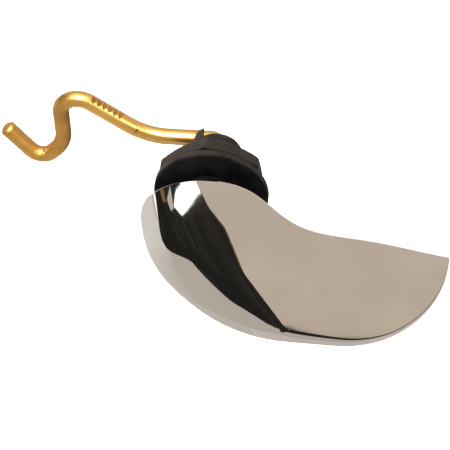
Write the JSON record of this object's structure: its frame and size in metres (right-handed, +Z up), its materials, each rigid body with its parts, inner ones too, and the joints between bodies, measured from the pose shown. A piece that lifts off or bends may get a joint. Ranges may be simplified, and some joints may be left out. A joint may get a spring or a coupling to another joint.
{
  "type": "cistern lever",
  "caption": "Cistern flush lever: a curved chrome paddle turns in a flanged black bushing clamped by a hexagon nut, and a bent brass arm with a hook lifts the flush valve.",
  "frame": {"origin": "on the spindle's axis, on the back face of the flange, which seats on the cistern wall", "axes": "+Y along the spindle into the cistern, +Z up, +X along the paddle, away from the arm's hook"},
  "size_m": [0.1367, 0.0698, 0.0354],
  "materials": {
    "chrome_casting": "polished chrome plate",
    "black_plastic": "moulded, satin",
    "black_rubber": "matt",
    "grey_plastic": "moulded, matt",
    "brass_rod": "bright drawn brass"
  },
  "bodies": {
    "bushing": {"bushing": "black_plastic"},
    "lever": {"handle": "chrome_casting", "lift_arm": "brass_rod"},
    "washer": {"clamp_washer": "black_rubber"},
    "nut": {"lock_nut": "grey_plastic"}
  },
  "joints": [
    {"name": "lever_turn", "type": "hinge", "parent": "bushing", "child": "lever", "pos_m": [0, 0, 0], "axis": [0, 1, 0], "range_deg": [-30, 0]},
    {"name": "washer_slide", "type": "slide", "parent": "bushing", "child": "washer", "axis": [0, 1, 0], "range_m": [0, 0.0093]},
    {"name": "nut_turn", "type": "hinge", "parent": "washer", "child": "nut", "pos_m": [0, 0, 0], "axis": [0, 1, 0], "range_deg": [-1674, 0]}
  ],
  "couplings": [
    {"joint": "washer_slide", "follows": "nut_turn", "m_per_rad": -0.0003183}
  ]
}
